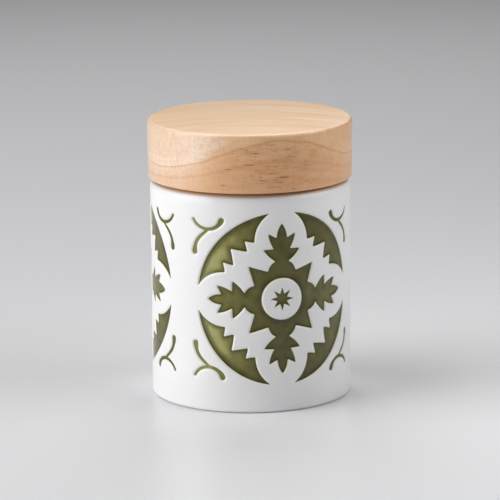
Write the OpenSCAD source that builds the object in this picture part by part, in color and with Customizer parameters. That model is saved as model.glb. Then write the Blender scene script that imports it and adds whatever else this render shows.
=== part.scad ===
// Food jar: a straight-sided glazed stoneware jar with a pressed ornament that holds
// pooled green glaze, and a turned wooden lid whose plug carries a silicone seal.
// Millimetres, +Z up, origin at the middle of the base, front towards -Y.

/* [Jar] */
// Outer diameter of the wall
jar_d = 100; // [97:0.5:108]
// Height from the table to the rim
jar_h = 110.4; // [108:0.2:125]
// Thickness of the wall
wall = 5.5; // [4:0.1:7]
// Thickness of the floor over the foot recess
floor_t = 4.5; // [3.5:0.1:8]
// Radius between the inner wall and the floor
inner_round = 7; // [3:0.5:12]
// Radius of the outer edge at the base
base_round = 1.6; // [1:0.1:3]
// Width of the flat ring that the jar stands on
foot_w = 5; // [3:0.5:8]
// Depth of the recess inside the foot ring
foot_h = 1.6; // [1:0.1:2.5]
// Height of the soft shoulder under the rim
shoulder_h = 6.3; // [4:0.1:8]
// Width of the flat rim that the lid sits on
rim_w = 0.8; // [0.4:0.1:1.6]
// Radius of the mouth's inner edge
mouth_round = 0.9; // [0.5:0.1:1.2]

/* [Ornament] */
// Least gap from a round medallion to the edge of its third of the wall
medallion_side_gap = 9; // [7:0.1:12]
// Gap from the medallions up to the shoulder
medallion_top_gap = 3.5; // [2:0.1:5]
// Least gap from the medallions down to the base's round edge
medallion_base_gap = 8; // [3:0.1:12]
// Turn of the first medallion from the front to the right, in degrees
medallion_turn = 18; // [0:1:40]
// Radius of the raised disc in the middle
disc_r = 10.5; // [9:0.1:12]
// Radius of the star's points on the disc
star_r = 5.7; // [4:0.1:7]
// Depth of the recesses
relief = 0.9; // [0.6:0.1:1.2]
// Thickness of the green glaze that lies in them
glaze_t = 0.45; // [0.3:0.05:0.6]
// Width of the sprigs' strokes
sprig_w = 1.9; // [1.4:0.1:2.4]
// Radius of the balls at the sprigs' ends
sprig_ball_r = 1.35; // [1.1:0.05:1.9]

/* [Lid] */
// Overhang of the lid past the jar's wall
lid_over = 1; // [0.5:0.1:2]
// Height of the lid over the rim
lid_h = 29; // [20:0.1:40]
// Radius of the top edge
lid_top_round = 1.1; // [0.5:0.1:2]
// Radius of the bottom edge
lid_bottom_round = 0.9; // [0.5:0.1:2]
// Depth of the plug below the rim
plug_h = 11; // [10:0.1:16]
// Gap between the plug and the mouth
plug_gap = 1.5; // [1:0.1:2.5]
// Radius of the plug's lower edge
plug_round = 1; // [0.5:0.1:1.5]
// Depth of the groove round the plug
groove_in = 2.6; // [2.2:0.1:3.5]
// Distance from the rim down to the groove
groove_drop = 1.6; // [1:0.1:2.5]

/* [Seal] */
// Height of the seal's band
seal_h = 5.4; // [4.5:0.1:6]
// Thickness of the band
seal_t = 1.5; // [1.2:0.1:1.8]
// Thickness of each fin
fin_t = 0.7; // [0.5:0.1:0.9]
// Rise of each fin from its root to its tip
fin_rise = 0.7; // [0.3:0.1:1]
// Gap between the seal and its groove
seal_gap = 0.3; // [0.1:0.05:0.4]
// Gap between the fins and the mouth
fin_gap = 0.3; // [0.1:0.05:0.4]

/* [Hidden] */
$fn = 96;
// Equal parts of the wall, each with one medallion
tiles = 3;
overrun = 1;
arc_steps = 8;
jar_r = jar_d / 2;
mouth_r = jar_r - wall;
// The shoulder falls from the rim's flat to the wall's outside.
shoulder_in = wall - mouth_round - rim_w;
foot_in_r = jar_r - base_round - foot_w;
inner_z = foot_h + floor_t;
recess_r = jar_r - relief;
// A medallion fills its third of the wall or the band between shoulder and base,
// whichever is the smaller.
wall_band = jar_h - shoulder_h - base_round;
medallion_r = min(
    PI * jar_r / tiles - medallion_side_gap,
    (wall_band - medallion_top_gap - medallion_base_gap) / 2);
medallion_z = jar_h - shoulder_h - medallion_top_gap - medallion_r;
lid_r = jar_r + lid_over;
lid_z = jar_h + lid_h;
plug_r = mouth_r - plug_gap;
groove_r = plug_r - groove_in;
groove_top = jar_h - groove_drop;
groove_h = seal_h + 2 * seal_gap;
seal_in_r = groove_r + seal_gap;
seal_out_r = seal_in_r + seal_t;
seal_z = groove_top - seal_gap - seal_h;
fins = 3;

// The ornament's outlines, in shares of the medallion's radius. A crescent's inner edge
// runs from its middle to its tip, as a radius and a turn from the crescent's middle:
// a notch, a tooth, a notch, a tooth and the long scallop.
crescent_edge_shares = [
    [0.838, 0], [0.690, 9.2], [0.806, 11.6], [0.812, 14], [0.738, 19.6],
    [0.806, 21.6], [0.868, 25], [0.932, 29.6]];
crescent_tip_turn = 36;
crescent_mid_share = 0.88;
// One side of an arm of the leaf cross, from its tip to the spike between two arms,
// as a distance along the arm and a distance beside it. The leaf's own edges are bowed.
arm_shares = [
    [0.867, 0], [0.789, 0.046], [0.703, 0.060], [0.756, 0.159], [0.663, 0.138],
    [0.579, 0.095], [0.574, 0.217], [0.497, 0.155], [0.436, 0.076], [0.385, 0.141],
    [0.321, 0.164], [0.387, 0.387]];
// The star's notches, as a share of its points' radius
star_notch_share = 0.46;
star_points = 8;
// A sprig's two strokes, each a curve with four control points
sprig_bow_shares = [[1.047, 0.906], [0.976, 0.766], [0.750, 0.766], [0.696, 0.909]];
sprig_stem_shares = [[0.863, 0.796], [0.934, 0.724], [1.031, 0.690], [1.036, 0.530]];
sprig_mid_share = 0.9;
// Width of a stroke at its start, in shares of its full width
stroke_start_share = 0.68;

// Points along a quarter or other stretch of an ellipse round [x, z]
function arc(x, z, rx, rz, from, to) = [
    for (i = [0 : arc_steps])
        let (a = from + (to - from) * i / arc_steps)
        [x + rx * cos(a), z + rz * sin(a)]];

function turn_of(length) = length / jar_r * 180 / PI;

function polar(r, a) = [r * cos(a), r * sin(a)];

// A point s along the wall from the medallion's middle and z above it, on a flat sheet
// that faces the wall at mid_s
function on_sheet(p, mid_s) = [jar_r * sin(turn_of(p[0] - mid_s)), medallion_z + p[1]];

function reversed(list) = [for (i = [len(list) - 1 : -1 : 0]) list[i]];

function curve(p, t) =
    pow(1 - t, 3) * p[0] + 3 * t * pow(1 - t, 2) * p[1]
    + 3 * t * t * (1 - t) * p[2] + pow(t, 3) * p[3];

function curve_side(p, t, half) =
    let (
        d = pow(1 - t, 2) * (p[1] - p[0]) + 2 * t * (1 - t) * (p[2] - p[1])
            + t * t * (p[3] - p[2]),
        n = [-d[1], d[0]] / norm(d))
    curve(p, t) + half * n;

// A stroke's outline, narrow at its start and full at its end
function stroke(p, w) =
    let (
        ts = [for (i = [0 : arc_steps]) i / arc_steps],
        halves = [for (t = ts) w / 2 * (stroke_start_share + (1 - stroke_start_share) * t)])
    concat(
        [for (i = [0 : arc_steps]) curve_side(p, ts[i], halves[i])],
        reversed([for (i = [0 : arc_steps]) curve_side(p, ts[i], -halves[i])]));

function crescent_outline() =
    let (
        inner = [
            for (e = crescent_edge_shares) polar(medallion_r * e[0], e[1])],
        outer = arc(0, 0, medallion_r, medallion_r, crescent_tip_turn, 0))
    concat(
        inner,
        outer,
        reversed([for (i = [1 : arc_steps - 1]) [outer[i][0], -outer[i][1]]]),
        [[outer[0][0], -outer[0][1]]],
        reversed([for (i = [1 : len(inner) - 1]) [inner[i][0], -inner[i][1]]]));

// A quarter of the leaf cross, from one arm's tip to just before the next one's
function cross_quarter() =
    let (
        side = medallion_r * arm_shares,
        last = len(side) - 1)
    concat(side, [for (i = [last - 1 : -1 : 1]) [side[i][1], side[i][0]]]);

function turned(p, a) = [p[0] * cos(a) - p[1] * sin(a), p[0] * sin(a) + p[1] * cos(a)];

function cross_outline() = [for (q = [0 : 3]) for (p = cross_quarter()) turned(p, 90 * q)];

function star_outline() = [
    for (i = [0 : 2 * star_points - 1])
        polar(star_r * (i % 2 == 0 ? 1 : star_notch_share), 90 + i * 180 / star_points)];

// Stands a flat outline against the wall, mid_s along it, and keeps what lies between
// two radii, so that its floor and its face follow the wall
module on_wall(mid_s, r_in, r_out)
    intersection() {
        rotate([0, 0, turn_of(mid_s)])
            rotate([90, 0, 0])
                linear_extrude(height = jar_r + 2 * overrun)
                    children();
        difference() {
            cylinder(r = r_out, h = jar_h);
            translate([0, 0, -overrun])
                cylinder(r = r_in, h = jar_h + 2 * overrun);
        }
    }

module for_tile(t)
    rotate([0, 0, medallion_turn + (t - 1) * 360 / tiles])
        children();

module crescent_set(r_in, r_out)
    for (q = [0 : 3]) {
        middle = turned([medallion_r * crescent_mid_share, 0], 45 + 90 * q);
        on_wall(middle[0], r_in, r_out)
            polygon([
                for (p = crescent_outline())
                    on_sheet(turned(p, 45 + 90 * q), middle[0])]);
    }

module leaf_cross_set(r_in, r_out)
    on_wall(0, r_in, r_out)
        difference() {
            polygon([for (p = cross_outline()) on_sheet(p, 0)]);
            translate([0, medallion_z])
                circle(r = disc_r);
        }

module star_set(r_in, r_out)
    on_wall(0, r_in, r_out)
        polygon([for (p = star_outline()) on_sheet(p, 0)]);

module sprig_set(r_in, r_out)
    for (x = [-1, 1], z = [-1, 1]) {
        mid_s = x * medallion_r * sprig_mid_share;
        bow = [for (p = medallion_r * sprig_bow_shares) [x * p[0], z * p[1]]];
        stem = [for (p = medallion_r * sprig_stem_shares) [x * p[0], z * p[1]]];
        on_wall(mid_s, r_in, r_out)
            union() {
                for (line = [bow, stem]) {
                    polygon([for (p = stroke(line, sprig_w)) on_sheet(p, mid_s)]);
                    translate(on_sheet(line[3], mid_s))
                        circle(r = sprig_ball_r);
                }
            }
    }

module jar_body()
    color("#f3f2ee")
        difference() {
            rotate_extrude()
                polygon(concat(
                    [[0, foot_h], [foot_in_r, foot_h], [foot_in_r, 0]],
                    arc(jar_r - base_round, base_round, base_round, base_round, -90, 0),
                    arc(jar_r - shoulder_in, jar_h - shoulder_h, shoulder_in, shoulder_h, 0, 90),
                    arc(mouth_r + mouth_round, jar_h - mouth_round, mouth_round, mouth_round,
                        90, 180),
                    arc(mouth_r - inner_round, inner_z + inner_round, inner_round, inner_round,
                        0, -90),
                    [[0, inner_z]]));
            for (t = [1 : tiles])
                for_tile(t) {
                    crescent_set(recess_r, jar_r + overrun);
                    leaf_cross_set(recess_r, jar_r + overrun);
                    star_set(recess_r, jar_r + overrun);
                    sprig_set(recess_r, jar_r + overrun);
                }
        }

module crescents(t)
    color("#6f6c42")
        for_tile(t)
            crescent_set(recess_r, recess_r + glaze_t);

module leaf_cross(t)
    color("#5f5d3a")
        for_tile(t)
            leaf_cross_set(recess_r, recess_r + glaze_t);

module star(t)
    color("#5f5d3a")
        for_tile(t)
            star_set(recess_r, recess_r + glaze_t);

module sprigs(t)
    color("#86834d")
        for_tile(t)
            sprig_set(recess_r, recess_r + glaze_t);

module lid()
    color("#e3c092")
        rotate_extrude()
            polygon(concat(
                [[0, jar_h - plug_h]],
                arc(plug_r - plug_round, jar_h - plug_h + plug_round, plug_round, plug_round,
                    -90, 0),
                [
                    [plug_r, groove_top - groove_h], [groove_r, groove_top - groove_h],
                    [groove_r, groove_top], [plug_r, groove_top], [plug_r, jar_h]],
                arc(lid_r - lid_bottom_round, jar_h + lid_bottom_round, lid_bottom_round,
                    lid_bottom_round, -90, 0),
                arc(lid_r - lid_top_round, lid_z - lid_top_round, lid_top_round, lid_top_round,
                    0, 90),
                [[0, lid_z]]));

// A band with fins that lean up from their roots
module seal_ring()
    color("#e6e5df")
        rotate_extrude()
            union() {
                translate([seal_in_r, seal_z])
                    square([seal_t, seal_h]);
                for (i = [0 : fins - 1]) {
                    root = seal_z + i * (seal_h - fin_t - fin_rise) / (fins - 1);
                    tip_r = mouth_r - fin_gap;
                    polygon([
                        [seal_out_r - seal_t / 2, root], [seal_out_r, root],
                        [tip_r, root + fin_rise], [tip_r, root + fin_rise + fin_t],
                        [seal_out_r, root + fin_t], [seal_out_r - seal_t / 2, root + fin_t]]);
                }
            }

jar_body();
for (t = [1 : tiles]) {
    crescents(t);
    leaf_cross(t);
    star(t);
    sprigs(t);
}
lid();
seal_ring();
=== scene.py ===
"""The food jar's looks: a glazed stoneware jar with a recessed ornament, a turned lid and
its seal.

Meshes are modelled in millimetres and turned to metres as each piece is finished.
Along the jar's wall, s is the length round it from a medallion's middle, and z is up.
"""

from collections import namedtuple
from math import atan2, cos, degrees, exp, hypot, pi, radians, sin

import bmesh
import bpy
from mathutils import Matrix, Vector, kdtree
from mathutils.geometry import delaunay_2d_cdt


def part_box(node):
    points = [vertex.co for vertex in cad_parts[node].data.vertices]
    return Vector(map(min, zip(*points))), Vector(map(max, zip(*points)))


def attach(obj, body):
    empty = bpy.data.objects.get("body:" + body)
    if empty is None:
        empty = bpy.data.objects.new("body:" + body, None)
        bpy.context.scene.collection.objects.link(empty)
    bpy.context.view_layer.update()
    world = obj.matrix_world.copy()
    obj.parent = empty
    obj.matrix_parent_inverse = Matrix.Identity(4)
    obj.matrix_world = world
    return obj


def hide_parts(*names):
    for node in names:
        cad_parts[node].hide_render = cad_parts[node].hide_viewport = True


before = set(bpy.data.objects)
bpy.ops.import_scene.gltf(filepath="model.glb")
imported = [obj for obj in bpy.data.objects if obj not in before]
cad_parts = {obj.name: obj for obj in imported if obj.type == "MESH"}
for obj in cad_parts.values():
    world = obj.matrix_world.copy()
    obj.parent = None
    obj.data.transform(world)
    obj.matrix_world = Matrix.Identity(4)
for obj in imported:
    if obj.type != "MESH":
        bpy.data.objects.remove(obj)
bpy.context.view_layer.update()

MM = 0.001

# The camera, fitted to the photograph: a long lens that looks a little down on the jar
CAMERA_AT = (-0.3, -1687, 442)
CAMERA_DOWN = radians(12.386)
CAMERA_ROLL = -0.0087
CAMERA_LENS = 247.55


def box_mm(node_name):
    """A CAD node's lowest and highest corner, in millimetres."""
    low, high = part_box(node_name)
    return [v / MM for v in low], [v / MM for v in high]


# Sizes from the frame
jar_low, jar_high = box_mm("jar_body")
lid_low, lid_high = box_mm("lid")
seal_low, seal_high = box_mm("seal_ring")
JAR_R = (jar_high[0] - jar_low[0]) / 2
JAR_H = jar_high[2]
LID_R = (lid_high[0] - lid_low[0]) / 2
LID_TOP = lid_high[2]
PLUG_BOTTOM = lid_low[2]
FIN_R = (seal_high[0] - seal_low[0]) / 2
SEAL_BOTTOM = seal_low[2]
SEAL_H = seal_high[2] - seal_low[2]

# Sizes of the jar that its box doesn't give
WALL = 5.5
MOUTH_R = JAR_R - WALL
INNER_FLOOR = 6.1
INNER_ROUND = 7
BASE_ROUND = 1.6
FOOT_RING = 5
FOOT_RECESS = 1.6
FOOT_EASE = 0.4
SHOULDER_H = 6.3
MOUTH_ROUND = 0.9
RIM_W = 0.8
SHOULDER_IN = WALL - MOUTH_ROUND - RIM_W
# The faces that lie lower than this are the foot ring's bare face
BARE_BELOW = 0.2
# Between these two depths below the rim the glaze is painted warm brown: painted shade of the
# gap under the lid, with the wood's bounced light
RIM_SHADE_FROM = 3.2
RIM_SHADE_FULL = 1

# Sizes of the lid and the seal that their boxes don't give
LID_TOP_ROUND = 1.6
LID_BOTTOM_ROUND = 0.5
PLUG_GAP = 1.5
PLUG_R = MOUTH_R - PLUG_GAP
PLUG_ROUND = 1
GROOVE_IN = 2.6
GROOVE_R = PLUG_R - GROOVE_IN
GROOVE_DROP = 1.6
GROOVE_TOP = JAR_H - GROOVE_DROP
GROOVE_H = 6
EASED_EDGE = 0.3
BAND_GAP = 0.3
BAND_IN = GROOVE_R + BAND_GAP
BAND_T = 1.5
FINS = 3
FIN_T = 0.7
FIN_RISE = 0.7
SEAL_CUT = 0.3
FIN_ROOT_CUT = 0.25

# The ornament
TILES = 3
FIRST_TURN = radians(18)
MEDALLION_R = 43.36
MEDALLION_Z = 57.24
DISC_R = 10.5
STAR_RAYS = 8
STAR_R = 5.8
STAR_NOTCH = 2.6
STAR_CUT = 0.35
RECESS = 0.9
# The lip beside an outline: its width, its drop at the outline and the power of its curve
LIP_W = 1.1
LIP_DROP = 0.48
LIP_POWER = 2.2
# The green's depth below the wall, and how soon it falls to that from the outline
GLAZE_DROP = 0.66
GLAZE_CURL = 0.4
# How far the green darkens from an edge, and from the outer arcs and the disc, and how
# strongly at these: thicker glaze with painted shade from the recess walls
EDGE_REACH = 2.2
RING_REACH = 3.8
RING_SHARE = 0.95

# How finely the pieces are divided
JAR_STEPS = 192
LID_STEPS = 256
OUTLINE_PITCH = 0.5
OUTLINE_ROWS = (0.22, 0.55, 0.95, 1.5)
FILL_PITCH = 1.7
CRESCENT_STEPS = 72
DISC_STEPS = 128
# The least room between two points of the sheet, from its sides, and round the last row
POINT_GAP = 0.6 * OUTLINE_PITCH
SIDE_GAP = 0.8
FILL_GAP = 0.4 * FILL_PITCH
# The share of its row's distance that a point has to keep from every outline
ROW_SHARE = 0.93
# How many of the nearest corners are tried for a point's distance from an outline
NEAR_CORNERS = 3
# The most of an edge that a corner's rounding takes
MOST_CUT = 0.45
CUT_ACCURACY = 1e-5
MERGE_GAP = 0.004
SHARP = radians(38)


def polar(r, turn):
    return r * cos(radians(turn)), r * sin(radians(turn))


def turned(p, turn):
    c, s = cos(radians(turn)), sin(radians(turn))
    return p[0] * c - p[1] * s, p[0] * s + p[1] * c


def between(a, b, t):
    return a[0] + (b[0] - a[0]) * t, a[1] + (b[1] - a[1]) * t


def distance(a, b):
    return hypot(b[0] - a[0], b[1] - a[1])


def arc(centre, rx, ry, first, last, steps=10):
    """Points of an ellipse between two angles in degrees, both ends included."""
    angles = [radians(first + (last - first) * i / steps) for i in range(steps + 1)]
    return [(centre[0] + rx * cos(a), centre[1] + ry * sin(a)) for a in angles]


def bow(a, control, c, t):
    """A point on the curve from a to c that both ends leave towards the control."""
    return between(between(a, control, t), between(control, c, t), t)


def rounded(corners):
    """A closed outline, anticlockwise, of corners: each is a point, the cut of its rounding
    and how far the edge from there to the next corner bulges outwards."""
    edges = []
    for (p, cut, bulge), (q, next_cut, _) in zip(corners, corners[1:] + corners[:1]):
        length = distance(p, q)
        push = 2 * bulge / length
        middle = between(p, q, 0.5)
        control = middle[0] + (q[1] - p[1]) * push, middle[1] - (q[0] - p[0]) * push
        first, last = min(MOST_CUT, cut / length), 1 - min(MOST_CUT, next_cut / length)
        steps = max(1, round(length * (last - first) / OUTLINE_PITCH)) if bulge else 1
        stops = [first + (last - first) * i / steps for i in range(steps + 1)]
        edges.append([bow(p, control, q, t) for t in stops])
    out = []
    for (p, cut, _), before, after in zip(corners, edges[-1:] + edges, edges):
        if cut:
            out += [bow(before[-1], p, after[0], t) for t in (0.25, 0.5, 0.75)] + after
        else:
            out += after[1:]
    return out


def and_back(half, mirror):
    """Half an outline's corners, followed by their mirror images in the opposite order."""
    images = [
        (mirror(p), cut, before[2]) for (p, cut, _), before in zip(half[1:-1], half[:-2])
    ]
    last, cut, _ = half[-1]
    return [*half[:-1], (last, cut, half[-2][2]), *images[::-1]]


def divided(outline, pitch):
    """The same closed outline with its long edges divided evenly."""
    out = []
    for i, p in enumerate(outline):
        q = outline[(i + 1) % len(outline)]
        steps = max(1, round(distance(p, q) / pitch))
        out += [between(p, q, k / steps) for k in range(steps)]
    return out


# Each corner is a place, the cut of its rounding and the next edge's bulge outwards.
# Half of a crescent that points along +s: its tip, the scallop to a tooth, a notch,
# another tooth and the notch in its middle
CRESCENT_TIP = 36.4
CRESCENT_CORNERS = (
    (polar(MEDALLION_R, CRESCENT_TIP), 0.3, -2.0),
    (polar(31.9, 19.4), 0.55, 0.15),
    (polar(35.2, 12.6), 1.2, 0.15),
    (polar(29.9, 9.4), 0.6, 0.15),
    (polar(36.5, 0), 1.2, 0),
)


def crescent_outline():
    outer = arc(
        (0, 0), MEDALLION_R, MEDALLION_R, -CRESCENT_TIP, CRESCENT_TIP, CRESCENT_STEPS
    )
    lower_tip = (outer[0], CRESCENT_CORNERS[0][1], 0)
    inner = and_back(CRESCENT_CORNERS, lambda p: (p[0], -p[1]))
    return rounded([lower_tip] + [(p, 0, 0) for p in outer[1:-1]] + inner)


# One side of an arm of the leaf cross, from its tip to the spike between two arms
ARM_CORNERS = (
    ((37.6, 0), 0.5, 0.7),
    ((30.5, 2.6), 0.7, 0),
    ((32.8, 6.9), 0.9, 0.5),
    ((25.1, 4.1), 0.7, 0),
    ((24.9, 9.4), 0.8, 0.5),
    ((18.9, 3.3), 0.5, 0.2),
    ((16.7, 6.1), 1.2, 0.1),
    ((13.9, 7.1), 0.7, 0),
    ((16.8, 16.8), 0.8, 0),
)


def leaf_cross_outline():
    arm = and_back(ARM_CORNERS, lambda p: (p[1], p[0]))
    return rounded([
        (turned(p, 90 * quarter), cut, bulge) for quarter in range(4) for p, cut, bulge in arm
    ])


def star_outline():
    return rounded([
        (polar(STAR_NOTCH if i % 2 else STAR_R, 90 + i * 180 / STAR_RAYS), STAR_CUT, 0)
        for i in range(2 * STAR_RAYS)
    ])


# A sprig's bow and stem in the medallion's upper right corner, each a curve with four
# control points, and half the width of a stroke at its start, before its drop and at it
SPRIG_STROKES = (
    ((45.4, 39.3), (42.3, 33.2), (32.5, 33.2), (30.2, 39.4)),
    ((37.4, 34.5), (40.5, 31.4), (44.7, 29.9), (44.9, 23.0)),
)
STROKE_THIN = 0.65
STROKE_FULL = 0.95
STROKE_DROP = 1.35
DROP_START = 0.78


def curve_point(p, t):
    u = 1 - t
    shares = (u * u * u, 3 * t * u * u, 3 * t * t * u, t * t * t)
    return tuple(sum(w * q[k] for w, q in zip(shares, p)) for k in (0, 1))


def stroke_half(t):
    """Half a stroke's width: thin at its start, wider along it, and a drop at its end."""
    body = STROKE_THIN + (STROKE_FULL - STROKE_THIN) * t
    drop = max(0, (t - DROP_START) / (1 - DROP_START))
    return body + (STROKE_DROP - body) * drop * drop * (3 - 2 * drop)


def stroke_outline(p, steps=24):
    """A brush stroke's closed outline, round at both ends."""
    left, right = [], []
    for i in range(steps + 1):
        t = i / steps
        a, b = curve_point(p, max(0, t - 0.01)), curve_point(p, min(1, t + 0.01))
        reach = stroke_half(t) / distance(a, b)
        x, y = curve_point(p, t)
        left.append((x - (b[1] - a[1]) * reach, y + (b[0] - a[0]) * reach))
        right.append((x + (b[1] - a[1]) * reach, y - (b[0] - a[0]) * reach))

    def round_end(middle, start, half):
        first = degrees(atan2(start[1] - middle[1], start[0] - middle[0]))
        return arc(middle, half, half, first, first - 180, 8)[1:-1]

    drop = round_end(p[3], left[-1], STROKE_DROP)
    start = round_end(p[0], right[0], STROKE_THIN)
    return left + drop + right[::-1] + start


WHITE, CRESCENTS, LEAF_CROSS, STAR, SPRIGS = range(5)
# How dark the glaze is in the middle of each kind of recess, how much paler out to both
# sides of the medallion, how much paler again to the left as a painted sheen, and how much
# darker along edges, for thicker glaze with painted shade
POOL_AND_LIGHT_LEVELS = {
    WHITE: (0, 0, 0, 0),
    CRESCENTS: (0.84, 0.2, 0.76, 0.8),
    LEAF_CROSS: (0.76, 0.32, 0.14, 0.8),
    STAR: (0.7, 0, 0, 0.8),
    SPRIGS: (0.72, 0, 0.52, 0.2),
}


def medallion_outlines():
    """Every closed outline of a medallion from its middle, with the field that lies inside it.

    An outline inside another one comes after it."""
    out = []
    for quarter in range(4):
        out.append((CRESCENTS, [turned(p, 45 + 90 * quarter) for p in crescent_outline()]))
    out.append((LEAF_CROSS, leaf_cross_outline()))
    out.append((WHITE, arc((0, 0), DISC_R, DISC_R, 0, 360, DISC_STEPS)[:-1]))
    out.append((STAR, star_outline()))
    for x, y in ((1, 1), (-1, 1), (-1, -1), (1, -1)):
        for stroke in SPRIG_STROKES:
            out.append((SPRIGS, [(x * p[0], y * p[1]) for p in stroke_outline(stroke)]))
    return out


def anticlockwise(outline):
    area = sum(
        p[0] * q[1] - q[0] * p[1] for p, q in zip(outline, outline[1:] + outline[:1])
    )
    return outline if area > 0 else outline[::-1]


def from_edge(p, a, b):
    """A flat point's distance from the edge between two others."""
    dx, dy = b[0] - a[0], b[1] - a[1]
    t = ((p[0] - a[0]) * dx + (p[1] - a[1]) * dy) / (dx * dx + dy * dy)
    t = min(1, max(0, t))
    return hypot(p[0] - a[0] - dx * t, p[1] - a[1] - dy * t)


def gap_finder(points, edges):
    """A function that gives a flat point's distance from the nearest of these edges."""
    beside = {}
    for a, b in edges:
        beside.setdefault(a, []).append(b)
        beside.setdefault(b, []).append(a)
    tree = kdtree.KDTree(len(beside))
    for i in beside:
        tree.insert((*points[i], 0), i)
    tree.balance()

    def gap(p):
        return min(
            from_edge(p, points[i], points[j])
            for _, i, _ in tree.find_n((*p, 0), NEAR_CORNERS)
            for j in beside[i]
        )

    return gap


class Spaced:
    """Flat points that keep a set distance from each other, but for those put in anyway."""

    def __init__(self, least):
        self.least, self.points, self.cells = least, [], {}

    def put(self, p):
        self.points.append(p)
        self.cells.setdefault(self.cell(p), []).append(p)
        return len(self.points) - 1

    def cell(self, p):
        return round(p[0] / self.least), round(p[1] / self.least)

    def offer(self, p):
        column, row = self.cell(p)
        for i in (column - 1, column, column + 1):
            for j in (row - 1, row, row + 1):
                if any(distance(p, q) < self.least for q in self.cells.get((i, j), ())):
                    return
        self.put(p)


Sheet = namedtuple("Sheet", "points faces fields radii edges pools")


def wall_sheet():
    """One third of the wall laid flat, cut into triangles along the ornament's outlines.

    No operator cuts hundreds of outlines into a sheet and keeps it even, so a constrained
    triangulation does it, with rows of points along each outline for the rounded lips."""
    half_s = pi * JAR_R / TILES
    low, high = BASE_ROUND, JAR_H - SHOULDER_H
    spaced = Spaced(POINT_GAP)
    names, loops = [], []
    for field, outline in medallion_outlines():
        names.append(field)
        loop = divided(anticlockwise(outline), OUTLINE_PITCH)
        loops.append([spaced.put((s, MEDALLION_Z + z)) for s, z in loop])
    outline_edges = [(i, j) for loop in loops for i, j in zip(loop, loop[1:] + loop[:1])]
    gap = gap_finder(spaced.points, outline_edges)

    steps = JAR_STEPS // TILES
    rise = round((high - low) / FILL_PITCH)
    for k in range(steps + 1):
        for z in (low, high):
            spaced.put((half_s * (2 * k / steps - 1), z))
    for k in range(1, rise):
        for s in (-half_s, half_s):
            spaced.put((s, low + (high - low) * k / rise))

    for row in OUTLINE_ROWS:
        for loop in loops:
            for before, i, after in zip(loop[-1:] + loop, loop, loop[1:] + loop[:1]):
                a, b = spaced.points[before], spaced.points[after]
                reach = row / distance(a, b)
                x, y = spaced.points[i]
                for side in (-reach, reach):
                    p = (x + (b[1] - a[1]) * side, y - (b[0] - a[0]) * side)
                    if gap(p) > ROW_SHARE * row and abs(p[0]) < half_s - SIDE_GAP:
                        spaced.offer(p)
    columns = round(2 * half_s / FILL_PITCH)
    for j in range(1, rise):
        shift = 0.5 * (j % 2)
        for i in range(columns):
            s = half_s * (2 * (i + shift) / columns - 1)
            p = (s, low + (high - low) * j / rise)
            if gap(p) > OUTLINE_ROWS[-1] + FILL_GAP and abs(s) < half_s - SIDE_GAP:
                spaced.offer(p)

    points, _, faces, _, _, inside = delaunay_2d_cdt(
        [Vector(p) for p in spaced.points], [], loops, 0, CUT_ACCURACY, True
    )
    fields = [names[max(held)] if held else WHITE for held in inside]
    sides = {}
    for face, field in zip(faces, fields):
        for i, j in zip(face, face[1:] + face[:1]):
            sides.setdefault((min(i, j), max(i, j)), []).append(field)
    cuts = [edge for edge, found in sides.items() if len(found) == 2 and found[0] != found[1]]
    gap = gap_finder(points, cuts)
    gaps = [gap(p) for p in points]
    held = [WHITE] * len(points)
    for face, field in zip(faces, fields):
        if field != WHITE:
            for i in face:
                held[i] = field
    radii = [wall_radius(g, field != WHITE) for g, field in zip(gaps, held)]
    edges = [smooth(1 - g / EDGE_REACH) for g in gaps]
    pools = [pooled(*sample) for sample in zip(points, held, edges)]
    return Sheet(points, faces, fields, radii, edges, pools)


def smooth(t):
    t = min(1, max(0, t))
    return t * t * (3 - 2 * t)


def pooled(p, field, edge):
    """How dark the glaze is, from 0 to 1: paler out to both sides of the medallion, paler
    again on the left as a painted sheen, and darker against the outer arcs, round the disc and
    along edges, for thicker glaze there with painted shade from the recess walls."""
    r = hypot(p[0], p[1] - MEDALLION_Z)
    ring = smooth(1 - min(abs(r - MEDALLION_R), abs(r - DISC_R)) / RING_REACH)
    middle, sides, left, at_edge = POOL_AND_LIGHT_LEVELS[field]
    across = p[0] / MEDALLION_R
    # left is a painted sheen: the glaze painted paler where the light from the left glances
    # off it
    level = middle - sides * smooth(abs(across)) - left * smooth(-across)
    # Darker at the arcs, the disc and the edges: thicker glaze with painted shade
    return level + (1 - level) * max(RING_SHARE * ring, at_edge * edge)


def wall_radius(gap, is_green):
    """The wall's radius at a distance from the nearest outline."""
    if is_green:
        return JAR_R - LIP_DROP - (GLAZE_DROP - LIP_DROP) * (1 - exp(-gap / GLAZE_CURL))
    return JAR_R - LIP_DROP * max(0, 1 - gap / LIP_W) ** LIP_POWER


def on_wall(r, turn, z):
    """The point at a radius and height, turned from the front to the right."""
    return r * sin(turn), -r * cos(turn), z


def new_wall_mesh():
    bm = bmesh.new()
    bm.verts.layers.float.new("edge")
    bm.verts.layers.float.new("pool")
    return bm


def lay_sheet(bm, sheet, tile, wanted):
    """Wraps the sheet's triangles of the wanted fields round the wall and returns them."""
    edge, pool = (bm.verts.layers.float.get(name) for name in ("edge", "pool"))
    turn = FIRST_TURN + tile * 2 * pi / TILES
    verts, faces = {}, []
    for corners, field in zip(sheet.faces, sheet.fields):
        if field not in wanted:
            continue
        for i in corners:
            if i not in verts:
                s, z = sheet.points[i]
                verts[i] = bm.verts.new(on_wall(sheet.radii[i], turn + s / JAR_R, z))
                verts[i][edge] = sheet.edges[i]
                verts[i][pool] = sheet.pools[i]
        faces.append((bm.faces.new([verts[i] for i in corners]), field))
    return faces


def press_in(bm, faces):
    """Extrudes faces of the wall inwards, down to the recesses' floor."""
    pressed = bmesh.ops.extrude_face_region(bm, geom=faces)["geom"]
    for v in pressed:
        if isinstance(v, bmesh.types.BMVert):
            shrink = (JAR_R - RECESS) / hypot(v.co.x, v.co.y)
            v.co.x *= shrink
            v.co.y *= shrink


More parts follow.
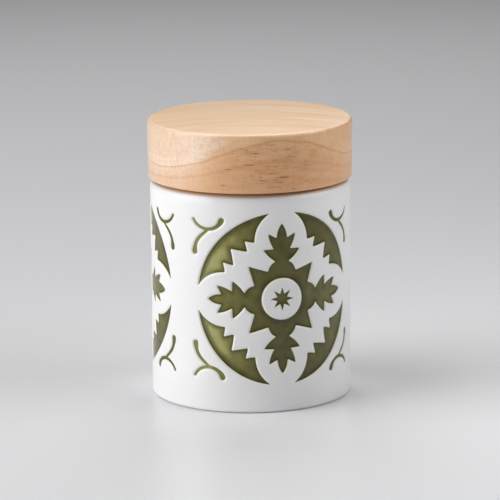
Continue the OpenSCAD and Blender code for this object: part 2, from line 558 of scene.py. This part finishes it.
def turn_profile(bm, profile, steps, closed=False, start=0.0):
    """Turns a profile of (radius, height) once round the jar's axis."""
    verts = [bm.verts.new(on_wall(r, start, z)) for r, z in profile]
    pairs = list(zip(verts, verts[1:] + verts[:1]))
    edges = [bm.edges.new(pair) for pair in (pairs if closed else pairs[:-1])]
    bmesh.ops.spin(
        bm, geom=verts + edges, cent=(0, 0, 0), axis=(0, 0, 1), dvec=(0, 0, 0),
        angle=2 * pi, steps=steps, use_merge=True,
    )


def close_up(bm):
    """Merges doubles, points every face outwards and leaves only real corners sharp."""
    bmesh.ops.remove_doubles(bm, verts=bm.verts, dist=MERGE_GAP)
    bmesh.ops.recalc_face_normals(bm, faces=bm.faces)
    for face in bm.faces:
        face.smooth = True
    for edge in bm.edges:
        edge.smooth = edge.calc_face_angle(0) < SHARP


def make_piece(name, bm, body, slot, materials, *nodes):
    """Turns a closed mesh in millimetres into a finished piece that stands for CAD nodes."""
    close_up(bm)
    bmesh.ops.scale(bm, vec=(MM, MM, MM), verts=bm.verts)
    mesh = bpy.data.meshes.new(name)
    bm.to_mesh(mesh)
    bm.free()
    for material in materials:
        mesh.materials.append(material)
    piece = bpy.data.objects.new(name, mesh)
    bpy.context.collection.objects.link(piece)
    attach(piece, body)
    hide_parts(*nodes)
    return piece


def make_jar(sheet, glaze, bisque):
    """The jar: the pressed wall, and the rim, inside and foot turned to meet it."""
    bm = new_wall_mesh()
    seam = FIRST_TURN - pi / TILES
    inside = (
        arc((JAR_R - SHOULDER_IN, JAR_H - SHOULDER_H), SHOULDER_IN, SHOULDER_H, 0, 90, 12)
        + arc(
            (MOUTH_R + MOUTH_ROUND, JAR_H - MOUTH_ROUND), MOUTH_ROUND, MOUTH_ROUND,
            90, 180, 6,
        )
        + arc(
            (MOUTH_R - INNER_ROUND, INNER_FLOOR + INNER_ROUND), INNER_ROUND, INNER_ROUND,
            0, -90,
        )
        + [(0, INNER_FLOOR)]
    )
    turn_profile(bm, inside, JAR_STEPS, start=seam)
    foot_in = JAR_R - BASE_ROUND - FOOT_RING
    foot = (
        arc((JAR_R - BASE_ROUND, BASE_ROUND), BASE_ROUND, BASE_ROUND, 0, -90, 8)
        + arc((foot_in + FOOT_EASE, FOOT_EASE), FOOT_EASE, FOOT_EASE, -90, -180, 4)
        + arc((foot_in - FOOT_EASE, FOOT_RECESS - FOOT_EASE), FOOT_EASE, FOOT_EASE, 0, 90, 4)
        + [(0, FOOT_RECESS)]
    )
    turn_profile(bm, foot, JAR_STEPS, start=seam)
    for face in bm.faces:
        if max(v.co.z for v in face.verts) < BARE_BELOW:
            face.material_index = 1
    fields = []
    for tile in range(TILES):
        laid = lay_sheet(bm, sheet, tile, (WHITE, CRESCENTS, LEAF_CROSS, STAR, SPRIGS))
        fields += [face for face, field in laid if field != WHITE]
    press_in(bm, fields)
    bmesh.ops.delete(bm, geom=fields, context="FACES")
    return make_piece("stoneware_jar", bm, "jar", "white_glaze", (glaze, bisque), "jar_body")


def make_green_glaze(sheet, glaze):
    """One closed piece of pooled glaze for each kind of motif in each medallion."""
    kinds = (
        (CRESCENTS, "crescents"), (LEAF_CROSS, "leaf_cross"), (STAR, "star"),
        (SPRIGS, "sprigs"),
    )
    for tile in range(TILES):
        for field, word in kinds:
            bm = new_wall_mesh()
            laid = lay_sheet(bm, sheet, tile, (field,))
            press_in(bm, [face for face, _ in laid])
            number = tile + 1
            make_piece(
                f"{word}_glaze_{number}", bm, "jar", "green_glaze", (glaze,),
                f"{word}_{number}",
            )


def make_lid(wood):
    bm = bmesh.new()
    profile = (
        [(0, PLUG_BOTTOM)]
        + arc(
            (PLUG_R - PLUG_ROUND, PLUG_BOTTOM + PLUG_ROUND), PLUG_ROUND, PLUG_ROUND,
            -90, 0, 6,
        )
        + [
            (PLUG_R, GROOVE_TOP - GROOVE_H), (GROOVE_R, GROOVE_TOP - GROOVE_H),
            (GROOVE_R, GROOVE_TOP), (PLUG_R, GROOVE_TOP), (PLUG_R, JAR_H),
        ]
        + arc(
            (LID_R - LID_BOTTOM_ROUND, JAR_H + LID_BOTTOM_ROUND), LID_BOTTOM_ROUND,
            LID_BOTTOM_ROUND, -90, 0,
        )
        + arc(
            (LID_R - LID_TOP_ROUND, LID_TOP - LID_TOP_ROUND), LID_TOP_ROUND, LID_TOP_ROUND,
            0, 90, 8,
        )
        + [(0, LID_TOP)]
    )
    turn_profile(bm, profile, LID_STEPS)
    close_up(bm)
    corners = [edge for edge in bm.edges if not edge.smooth]
    bmesh.ops.bevel(
        bm, geom=corners, affect="EDGES", offset=EASED_EDGE, segments=2, profile=0.5,
        material=-1,
    )
    return make_piece("wooden_lid", bm, "lid", "lid_wood", (wood,), "lid")


def make_seal(silicone):
    """A moulded band with fins that lean up from their roots to a soft tip."""
    band_out = BAND_IN + BAND_T
    corners = [((BAND_IN, SEAL_BOTTOM), SEAL_CUT)]
    for i in range(FINS):
        root = SEAL_BOTTOM + i * (SEAL_H - FIN_T - FIN_RISE) / (FINS - 1)
        corners += [
            ((band_out, root), 0 if i == 0 else FIN_ROOT_CUT),
            ((FIN_R, root + FIN_RISE), SEAL_CUT),
            ((FIN_R, root + FIN_RISE + FIN_T), SEAL_CUT),
            ((band_out, root + FIN_T), FIN_ROOT_CUT),
        ]
    corners += [((r, SEAL_BOTTOM + SEAL_H), SEAL_CUT) for r in (band_out, BAND_IN)]
    bm = bmesh.new()
    turn_profile(bm, rounded([(p, cut, 0) for p, cut in corners]), JAR_STEPS, closed=True)
    return make_piece("silicone_seal", bm, "seal", "seal_silicone", (silicone,), "seal_ring")


def paint(colour):
    """A linear colour with alpha, from an sRGB hex value."""
    channels = [int(colour[i:i + 2], 16) / 255 for i in (1, 3, 5)]
    linear = [c / 12.92 if c <= 0.04045 else ((c + 0.055) / 1.055) ** 2.4 for c in channels]
    return (*linear, 1)


def add(tree, kind, inputs=None, stops=None, **settings):
    """Adds a node with its settings, then sets or links its inputs and a ramp's stops."""
    made = tree.nodes.new("ShaderNode" + kind)
    for name, value in settings.items():
        setattr(made, name, value)
    for name, value in (inputs or {}).items():
        if isinstance(value, bpy.types.NodeSocket):
            tree.links.new(value, made.inputs[name])
        else:
            made.inputs[name].default_value = value
    if stops:
        ramp = made.color_ramp.elements
        ramp.remove(ramp[1])
        for i, (place, colour) in enumerate(stops):
            stop = ramp.new(place) if i else ramp[0]
            stop.position = place
            stop.color = paint(colour) if isinstance(colour, str) else (colour,) * 3 + (1,)
    return made


def start_material(name):
    material = bpy.data.materials.new(name)
    material.use_nodes = True
    material.node_tree.nodes.clear()
    return material, material.node_tree


# Sockets of a Mix node for colours
MIX_A, MIX_B, MIX_OUT = 6, 7, 2


def stoneware_glaze_material():
    """White tin-opacified glaze on stoneware, fired to a satin sheen. It breaks over the lips
    of the recesses, where the green runs into it as a thin yellow-green line. Near the rim it
    is painted warm brown: painted shade under the lid, with the wood's bounced light."""
    material, tree = start_material("satin_white_stoneware_glaze")
    place = add(tree, "TexCoord").outputs["Object"]
    edge = add(tree, "Attribute", attribute_name="edge").outputs["Fac"]
    clouds = add(tree, "TexNoise", {"Vector": place, "Scale": 1 / (30 * MM), "Detail": 2})
    body = add(tree, "ValToRGB", {"Fac": clouds.outputs["Fac"]},
               stops=((0.35, "#F0EFF0"), (0.65, "#F4F3F3")))
    run = add(tree, "MapRange", {"Value": edge, "From Min": 0.86, "From Max": 1.0})
    colour = add(tree, "Mix", {0: run.outputs[0], MIX_A: body.outputs[0],
                               MIX_B: paint("#DADCB4")}, data_type="RGBA")
    # Painted shade under the lid: the glaze painted warm brown towards the rim
    up = add(tree, "SeparateXYZ", {"Vector": place}).outputs[2]
    rim_shade = add(tree, "MapRange", {"Value": up, "From Min": (JAR_H - RIM_SHADE_FROM) * MM,
                                  "From Max": (JAR_H - RIM_SHADE_FULL) * MM},
               interpolation_type="SMOOTHSTEP")
    colour = add(tree, "Mix", {0: rim_shade.outputs[0], MIX_A: colour.outputs[MIX_OUT],
                               MIX_B: paint("#B48C66")}, data_type="RGBA")
    peel = add(tree, "TexNoise", {"Vector": place, "Scale": 1 / (2.5 * MM), "Detail": 1})
    bump = add(tree, "Bump", {"Height": peel.outputs["Fac"], "Strength": 0.3,
                              "Distance": 0.02 * MM})
    surface = add(tree, "BsdfPrincipled", {
        "Base Color": colour.outputs[MIX_OUT], "Roughness": 0.3, "IOR": 1.5,
        "Normal": bump.outputs[0],
    })
    add(tree, "OutputMaterial", {"Surface": surface.outputs[0]})
    return material


def olive_glaze_material():
    """Translucent olive glaze over white, pooled in the recesses: yellower where it lies thin
    and near brown where it gathers, with cloudy patches as it ran in the kiln. Its tone also
    carries painted light: a painted sheen on the left and painted shade along recess walls."""
    material, tree = start_material("pooled_olive_glaze")
    place = add(tree, "TexCoord").outputs["Object"]
    # The tone from the wall: glaze thickness, with painted sheen and painted shade laid in
    pool = add(tree, "Attribute", attribute_name="pool").outputs["Fac"]
    clouds = add(tree, "TexNoise", {"Vector": place, "Scale": 1 / (7 * MM), "Detail": 3})
    patches = add(tree, "MapRange", {"Value": clouds.outputs["Fac"], "From Min": 0.3,
                                     "From Max": 0.7, "To Min": -0.15, "To Max": 0.15})
    thickness_and_light = add(tree, "Math", {0: pool, 1: patches.outputs[0]}, operation="ADD")
    colour = add(tree, "ValToRGB", {"Fac": thickness_and_light.outputs[0]},
                 stops=((0.0, "#A8A469"), (0.3, "#7E7C40"), (0.65, "#605D25"),
                        (1.0, "#433D0A")))
    peel = add(tree, "TexNoise", {"Vector": place, "Scale": 1 / (1.8 * MM), "Detail": 1})
    bump = add(tree, "Bump", {"Height": peel.outputs["Fac"], "Strength": 0.4,
                              "Distance": 0.03 * MM})
    surface = add(tree, "BsdfPrincipled", {
        "Base Color": colour.outputs[0], "Roughness": 0.2, "IOR": 1.52,
        "Normal": bump.outputs[0],
    })
    add(tree, "OutputMaterial", {"Surface": surface.outputs[0]})
    return material


# The highest growth line on the lid's side, as shares of the lid's width and height
GROWTH_ARCH = (
    (0.0, 0.34), (0.09, 0.342), (0.2, 0.445), (0.3, 0.57), (0.4, 0.705), (0.5, 0.807),
    (0.58, 0.872), (0.65, 0.89), (0.73, 0.858), (0.8, 0.79), (0.87, 0.68), (0.94, 0.53),
    (1.0, 0.45),
)
# How dark the growth lines are, from one line above the arch to three below it
GROWTH_TONES = (
    (0.0, 0.12), (0.02, 0.04), (0.1, 0.0), (0.13, 0.08), (0.16, 0.0), (0.226, 0.0),
    (0.25, 0.5), (0.275, 0.14), (0.31, 0.03), (0.36, 0.1), (0.4, 0.04), (0.46, 0.06),
    (0.5, 0.32), (0.535, 0.12), (0.57, 0.04), (0.61, 0.1), (0.65, 0.03), (0.7, 0.06),
    (0.75, 0.22), (0.8, 0.08), (0.83, 0.03), (0.88, 0.08), (0.93, 0.02),
)
# Dark flecks on the front: across, up, and half their length and height
FLECKS = (
    (16.5, 118.2, 3.4, 0.5), (5.2, 118.6, 1.3, 0.3), (5.6, 117.1, 1.8, 0.3),
    (10.8, 134.3, 2.8, 0.25), (18.8, 131.8, 1.8, 0.3), (27.8, 132.5, 0.8, 0.35),
    (-0.8, 124.8, 3.4, 0.35), (-10.6, 122.5, 1.5, 0.3), (-1.6, 131.9, 1.2, 0.3),
    (10.4, 120.3, 3.6, 0.25), (14.8, 115.7, 2.8, 0.25), (21.4, 111.9, 1.6, 0.4),
    (27.2, 124.8, 0.9, 0.4), (2.6, 130.4, 2.0, 0.25), (-6.2, 127.3, 1.4, 0.25),
    (8.6, 123.8, 2.2, 0.2), (20.6, 127.9, 1.6, 0.2), (-13.4, 114.6, 1.8, 0.25),
)
# The wood's unevenness: how long it is along the fibres and across them on the top and up
# the side, and its detail
WOOD_NOISES = {
    "sway": (18, 18, 6, 2), "bands": (70, 7, 7, 2), "fibres": (24, 1.4, 1.4, 4),
    "ragged": (9, 9, 3, 3), "pores": (2.6, 2.6, 0.4, 1), "fray": (1.5, 1.5, 0.4, 2),
    "rays": (0.9, 0.9, 5, 1), "patches": (14, 14, 2.2, 3),
}
# The fibres bow back along X: by x * x / FIBRE_BEND, in millimetres
FIBRE_BEND = 140
# The middle of the browner heart on the front, and its reach each way
HEART_AT = (13.6, -50.32, 121.6)
HEART_REACH = (34, 34, 16)
# How deep a fleck reaches into the wood
FLECK_DEPTH = 12
# The side's pattern fades out between these two depths below the top
SIDE_FADE = (0.6, 0.1)
# How high the lower edge is painted dark: painted shade of the gap over the jar
LID_EDGE_SHADE_H = 0.35


def rubberwood_material():
    """Rubberwood, turned, fine-sanded and finished with oil: pale and slightly pink, with long
    fibres along X. Growth lines arch over the side, and under them the wood is browner, with
    short dark pores and flecks. The left of the side is painted paler, a painted sheen, and
    the lower edge is painted dark, the painted shade of the gap over the jar."""
    material, tree = start_material("turned_rubberwood")
    place = add(tree, "TexCoord").outputs["Object"]
    mm = add(tree, "Mapping", {"Vector": place, "Scale": (1 / MM,) * 3}).outputs[0]
    along, _, up = add(tree, "SeparateXYZ", {"Vector": mm}).outputs
    square = add(tree, "Math", {0: along, 1: along}, operation="MULTIPLY")
    bend = add(tree, "Math", {0: square.outputs[0], 1: 1 / FIBRE_BEND}, operation="MULTIPLY")
    bent = add(tree, "CombineXYZ", {"Y": bend.outputs[0]})
    fibre_mm = add(tree, "VectorMath", {0: mm, 1: bent.outputs[0]}).outputs[0]
    noise = {}
    for name, (length, across, height, detail) in WOOD_NOISES.items():
        stretched = add(tree, "Mapping", {"Vector": fibre_mm,
                                          "Scale": (1 / length, 1 / across, 1 / height)})
        noise[name] = add(tree, "TexNoise", {"Vector": stretched.outputs[0], "Scale": 1,
                                             "Detail": detail}).outputs["Fac"]

    # The arch, and how many growth lines each place lies below it
    share = add(tree, "MapRange", {"Value": along, "From Min": -LID_R, "From Max": LID_R})
    arch = add(tree, "ValToRGB", {"Fac": share.outputs[0]}, stops=GROWTH_ARCH)
    arch.color_ramp.interpolation = "CARDINAL"
    line_z = add(tree, "MapRange", {"Value": arch.outputs[0], "To Min": JAR_H,
                                    "To Max": LID_TOP})
    sway = add(tree, "MapRange", {"Value": noise["sway"], "To Min": -0.8, "To Max": 0.8})
    above = add(tree, "Math", {0: up, 1: sway.outputs[0]}, operation="ADD")
    below = add(tree, "Math", {0: line_z.outputs[0], 1: above.outputs[0]},
                operation="SUBTRACT")
    spacing = add(tree, "MapRange", {"Value": arch.outputs[0], "From Min": 0.35,
                                     "From Max": 0.88, "To Min": 5.2, "To Max": 9.8})
    lines_below = add(tree, "Math", {0: below.outputs[0], 1: spacing.outputs[0]},
                      operation="DIVIDE")
    ring = add(tree, "MapRange", {"Value": lines_below.outputs[0], "From Min": -1,
                                  "From Max": 3})
    growth = add(tree, "ValToRGB", {"Fac": ring.outputs[0]}, stops=GROWTH_TONES)
    side = add(tree, "MapRange", {"Value": up, "From Min": LID_TOP - SIDE_FADE[0],
                                  "From Max": LID_TOP - SIDE_FADE[1], "To Min": 1,
                                  "To Max": 0})
    growth_side = add(tree, "Math", {0: growth.outputs[0], 1: side.outputs[0]},
                      operation="MULTIPLY")

    # The browner heart under the arch, with the pores and flecks that gather in it
    heart_mm = add(tree, "Mapping", {
        "Vector": mm,
        "Location": [-at / reach for at, reach in zip(HEART_AT, HEART_REACH)],
        "Scale": [1 / reach for reach in HEART_REACH],
    })
    heart_far = add(tree, "VectorMath", {0: heart_mm.outputs[0]}, operation="LENGTH")
    heart_edge = add(tree, "Math", {0: noise["ragged"], 1: heart_far.outputs["Value"]},
                     operation="SUBTRACT")
    heart = add(tree, "MapRange", {"Value": heart_edge.outputs[0], "From Min": -0.75,
                                   "From Max": 0.2}, interpolation_type="SMOOTHSTEP")
    heart_side = add(tree, "Math", {0: heart.outputs[0], 1: side.outputs[0]},
                     operation="MULTIPLY")
    blotches = add(tree, "MapRange", {"Value": noise["ragged"], "From Min": 0.35,
                                      "From Max": 0.65, "To Min": 0.1, "To Max": 0.55})
    stain = add(tree, "Math", {0: heart_side.outputs[0], 1: blotches.outputs[0]},
                operation="MULTIPLY")
    clumps = add(tree, "MapRange", {"Value": noise["ragged"], "From Min": 0.4,
                                    "From Max": 0.65, "To Min": -0.08, "To Max": 0.04})
    dashes = add(tree, "Math", {0: noise["pores"], 1: clumps.outputs[0]}, operation="ADD")
    pores = add(tree, "MapRange", {"Value": dashes.outputs[0], "From Min": 0.6,
                                   "From Max": 0.7, "To Max": 0.5})
    pores_here = add(tree, "Math", {0: pores.outputs[0], 1: heart_side.outputs[0]},
                     operation="MULTIPLY")
    flecks = None
    for across, height, half_length, half_height in FLECKS:
        fleck_mm = add(tree, "Mapping", {
            "Vector": mm,
            "Location": (-across / half_length, LID_R / FLECK_DEPTH, -height / half_height),
            "Scale": (1 / half_length, 1 / FLECK_DEPTH, 1 / half_height),
        })
        far = add(tree, "VectorMath", {0: fleck_mm.outputs[0]}, operation="LENGTH")
        frayed = add(tree, "Math", {0: far.outputs["Value"], 1: noise["fray"]},
                     operation="ADD")
        fleck = add(tree, "MapRange", {"Value": frayed.outputs[0], "From Min": 0.95,
                                       "From Max": 1.6, "To Min": 0.7, "To Max": 0})
        flecks = fleck if flecks is None else add(
            tree, "Math", {0: flecks.outputs[0], 1: fleck.outputs[0]}, operation="MAXIMUM")

    # The colours, each laid over the last
    colour = add(tree, "ValToRGB", {"Fac": noise["bands"]},
                 stops=((0.3, "#EDC69A"), (0.5, "#F4D2AF"), (0.7, "#F8DDC1"))).outputs[0]
    streak = add(tree, "MapRange", {"Value": noise["fibres"], "From Min": 0.35,
                                    "From Max": 0.6, "To Min": 0.36, "To Max": 0})
    # The left of the side painted paler: a painted sheen of the light from the left, over the
    # side's own wood tone
    above_arch = add(tree, "MapRange", {"Value": lines_below.outputs[0], "From Min": -0.6,
                                        "From Max": 0.1, "To Min": -0.18, "To Max": 0})
    sheen_place = add(tree, "Math", {0: share.outputs[0], 1: above_arch.outputs[0]},
                    operation="ADD")
    left = add(tree, "MapRange", {"Value": sheen_place.outputs[0], "From Min": 0.1,
                                  "From Max": 0.3, "To Min": 1, "To Max": 0},
               interpolation_type="SMOOTHSTEP")
    side_wood_and_sheen = add(tree, "ValToRGB", {"Fac": left.outputs[0]},
                  stops=((0, "#EBBB8D"), (1, "#F4E0CB")))
    pale = add(tree, "Math", {0: side.outputs[0], 1: 0.7}, operation="MULTIPLY")
    rays = add(tree, "MapRange", {"Value": noise["rays"], "From Min": 0.45,
                                  "From Max": 0.7, "To Max": 0.22})
    rays_side = add(tree, "Math", {0: rays.outputs[0], 1: side.outputs[0]},
                    operation="MULTIPLY")
    patches = add(tree, "MapRange", {"Value": noise["patches"], "From Min": 0.48,
                                     "From Max": 0.66, "To Max": 0.36})
    patches_here = add(tree, "Math", {0: patches.outputs[0], 1: heart_side.outputs[0]},
                       operation="MULTIPLY")
    under = add(tree, "MapRange", {"Value": lines_below.outputs[0], "From Min": 0,
                                   "From Max": 1.1, "To Max": 0.28})
    under_side = add(tree, "Math", {0: under.outputs[0], 1: side.outputs[0]},
                     operation="MULTIPLY")
    # The lower edge painted dark brown: painted shade of the gap between lid and jar
    lid_edge_shade = add(tree, "MapRange", {"Value": up, "From Min": JAR_H,
                                   "From Max": JAR_H + LID_EDGE_SHADE_H, "To Min": 0.45, "To Max": 0})
    layers = (
        # the side's wood tone, painted paler on the left as a painted sheen
        (pale, side_wood_and_sheen.outputs[0]),
        (streak, paint("#DEAE7C")),
        (under_side, paint("#DC9A64")),
        (stain, paint("#E2A66C")),
        (patches_here, paint("#C98A52")),
        (rays_side, paint("#D29A6C")),
        (growth_side, paint("#C87E50")),
        (pores_here, paint("#A65A22")),
        (flecks, paint("#9C4714")),
        (lid_edge_shade, paint("#7A3A0C")),
    )
    for amount, over in layers:
        colour = add(tree, "Mix", {0: amount.outputs[0], MIX_A: colour, MIX_B: over},
                     data_type="RGBA").outputs[MIX_OUT]

    bump = add(tree, "Bump", {"Height": noise["fibres"], "Strength": 0.3,
                              "Distance": 0.04 * MM})
    surface = add(tree, "BsdfPrincipled", {
        "Base Color": colour, "Roughness": 0.42, "IOR": 1.5, "Coat Weight": 0.5,
        "Coat Roughness": 0.18, "Normal": bump.outputs[0],
    })
    add(tree, "OutputMaterial", {"Surface": surface.outputs[0]})
    return material


def silicone_material():
    """Moulded food-grade silicone, milky, with a dull skin from the mould."""
    material, tree = start_material("milky_moulded_silicone")
    place = add(tree, "TexCoord").outputs["Object"]
    clouds = add(tree, "TexNoise", {"Vector": place, "Scale": 1 / (6 * MM), "Detail": 2})
    colour = add(tree, "ValToRGB", {"Fac": clouds.outputs["Fac"]},
                 stops=((0.3, "#DCDBD5"), (0.7, "#E8E7E2")))
    skin = add(tree, "TexNoise", {"Vector": place, "Scale": 1 / (0.4 * MM), "Detail": 2})
    bump = add(tree, "Bump", {"Height": skin.outputs["Fac"], "Strength": 0.3,
                              "Distance": 0.02 * MM})
    surface = add(tree, "BsdfPrincipled", {
        "Base Color": colour.outputs[0], "Roughness": 0.5, "IOR": 1.41,
        "Subsurface Weight": 0.3, "Subsurface Radius": (1, 0.9, 0.8),
        "Subsurface Scale": 1.2 * MM, "Normal": bump.outputs[0],
    })
    add(tree, "OutputMaterial", {"Surface": surface.outputs[0]})
    return material


def bisque_material():
    """The foot ring, wiped free of glaze: bare fired clay, dry and fine-grained."""
    material, tree = start_material("bare_stoneware_bisque")
    place = add(tree, "TexCoord").outputs["Object"]
    grains = add(tree, "TexNoise", {"Vector": place, "Scale": 1 / (0.6 * MM), "Detail": 3})
    colour = add(tree, "ValToRGB", {"Fac": grains.outputs["Fac"]},
                 stops=((0.35, "#CDBFAA"), (0.65, "#E0D5C3")))
    bump = add(tree, "Bump", {"Height": grains.outputs["Fac"], "Strength": 0.5,
                              "Distance": 0.05 * MM})
    surface = add(tree, "BsdfPrincipled", {
        "Base Color": colour.outputs[0], "Roughness": 0.85, "Normal": bump.outputs[0],
    })
    add(tree, "OutputMaterial", {"Surface": surface.outputs[0]})
    return material


def make_camera():
    lens = bpy.data.cameras.new("camera")
    lens.lens = CAMERA_LENS
    camera = bpy.data.objects.new("camera", lens)
    bpy.context.collection.objects.link(camera)
    camera.matrix_world = (
        Matrix.Translation(Vector(CAMERA_AT) * MM)
        @ Matrix.Rotation(pi / 2 - CAMERA_DOWN, 4, "X")
        @ Matrix.Rotation(CAMERA_ROLL, 4, "Z")
    )
    bpy.context.scene.camera = camera


# The floor's half width, in metres
FLOOR_HALF = 6


def make_floor():
    bm = bmesh.new()
    bmesh.ops.create_grid(bm, x_segments=1, y_segments=1, size=FLOOR_HALF)
    mesh = bpy.data.meshes.new("floor")
    bm.to_mesh(mesh)
    bm.free()
    material, tree = start_material("pale_studio_floor")
    surface = add(tree, "BsdfPrincipled", {"Base Color": paint("#DCDCDE"), "Roughness": 0.35})
    add(tree, "OutputMaterial", {"Surface": surface.outputs[0]})
    mesh.materials.append(material)
    floor = bpy.data.objects.new("floor", mesh)
    bpy.context.collection.objects.link(floor)


# White softboxes, turned round the jar from the camera's side to the right: each one's
# name, azimuth, elevation, distance and side in metres, and power
SOFTBOXES = (
    ("window_high", -75, 60, 1.5, 1.0, 11.3),
    ("window_side", -80, 25, 1.5, 1.0, 3.4),
    ("window_low", -65, 12, 1.5, 1.0, 12.3),
    ("behind", 180, 50, 1.6, 1.2, 12),
    ("near_fill", 75, 40, 0.5, 0.4, 1.4),
)
LIGHTS_AIM = Vector((0, 0, 0.07))


def soft_light(name, azimuth, elevation, away, size, watts):
    """A square softbox that faces the jar's middle."""
    light = bpy.data.lights.new(name, "AREA")
    light.shape = "SQUARE"
    light.size = size
    light.energy = watts
    a, e = radians(azimuth), radians(elevation)
    toward = Vector((cos(e) * sin(a), -cos(e) * cos(a), sin(e)))
    lamp = bpy.data.objects.new(name, light)
    bpy.context.collection.objects.link(lamp)
    lamp.location = LIGHTS_AIM + toward * away
    lamp.rotation_euler = toward.to_track_quat("Z", "Y").to_euler()


def make_studio():
    bpy.context.scene.view_settings.view_transform = "Standard"
    world = bpy.data.worlds.new("studio")
    bpy.context.scene.world = world
    world.use_nodes = True
    room = world.node_tree.nodes["Background"]
    room.inputs["Color"].default_value = paint("#EEF0F4")
    room.inputs["Strength"].default_value = 0.01
    for softbox in SOFTBOXES:
        soft_light(*softbox)


make_camera()
make_floor()
make_studio()
wall = wall_sheet()
make_jar(wall, stoneware_glaze_material(), bisque_material())
make_green_glaze(wall, olive_glaze_material())
make_lid(rubberwood_material())
make_seal(silicone_material())
